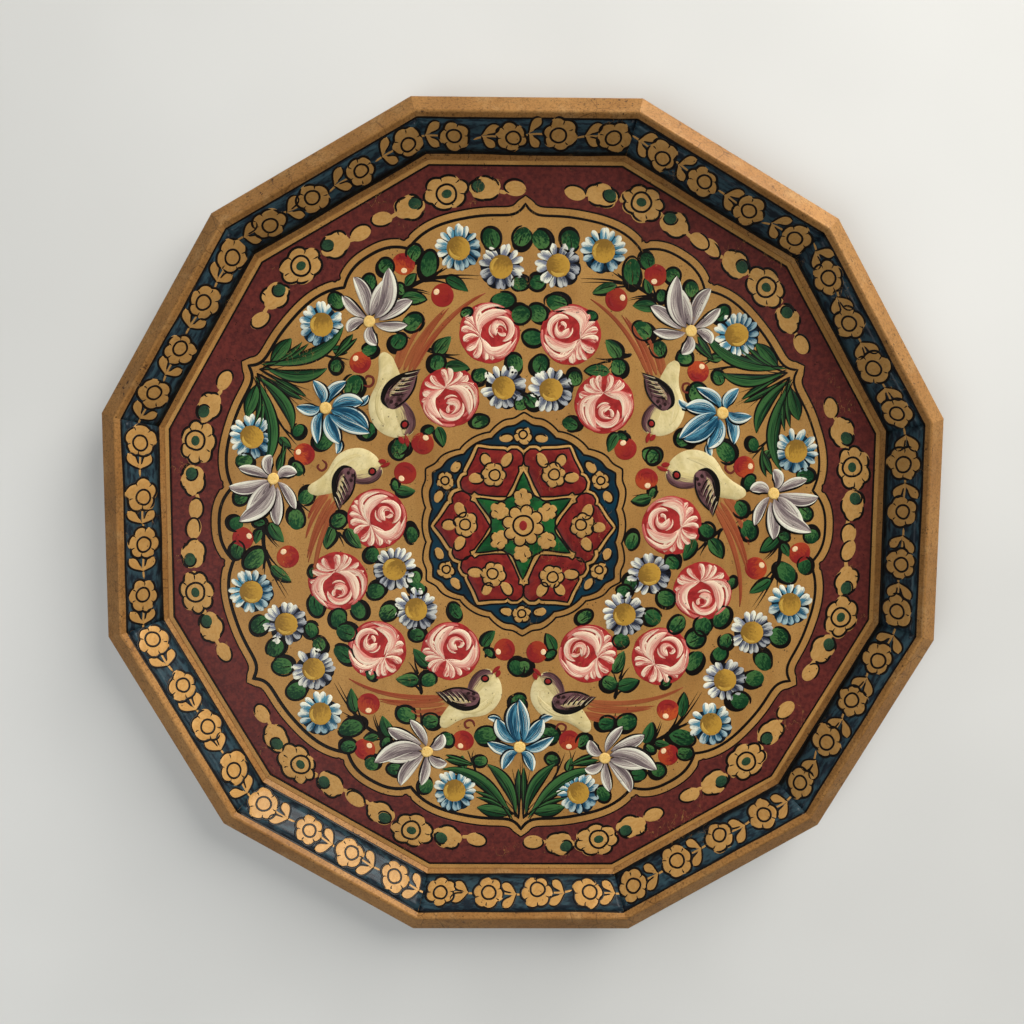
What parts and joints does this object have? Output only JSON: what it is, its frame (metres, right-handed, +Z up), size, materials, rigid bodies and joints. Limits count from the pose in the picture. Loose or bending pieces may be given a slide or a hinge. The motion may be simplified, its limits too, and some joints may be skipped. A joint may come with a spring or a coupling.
{
  "type": "painted tray",
  "caption": "Many-sided wooden serving tray with a flat base board and leaning mitred wall staves, painted with flowers and birds in lacquered colours.",
  "frame": {"origin": "middle of the underside of the base board", "axes": "+Z up, out of the tray; two of the straight sides face +Y and -Y, and +Y is the top of the painting"},
  "size_m": [0.43, 0.43, 0.0278],
  "materials": {
    "painted_board": "hand painted with gold ochre ground, flowers and birds, under worn satin lacquer",
    "painted_wall": "hand painted dark blue band with ochre blossoms and ochre lip, under glossy lacquer"
  },
  "bodies": {
    "root": {"base_board": "painted_board", "wall_stave_01": "painted_wall", "wall_stave_02": "painted_wall", "wall_stave_03": "painted_wall", "wall_stave_04": "painted_wall", "wall_stave_05": "painted_wall", "wall_stave_06": "painted_wall", "wall_stave_07": "painted_wall", "wall_stave_08": "painted_wall", "wall_stave_09": "painted_wall", "wall_stave_10": "painted_wall", "wall_stave_11": "painted_wall", "wall_stave_12": "painted_wall"}
  },
  "joints": []
}
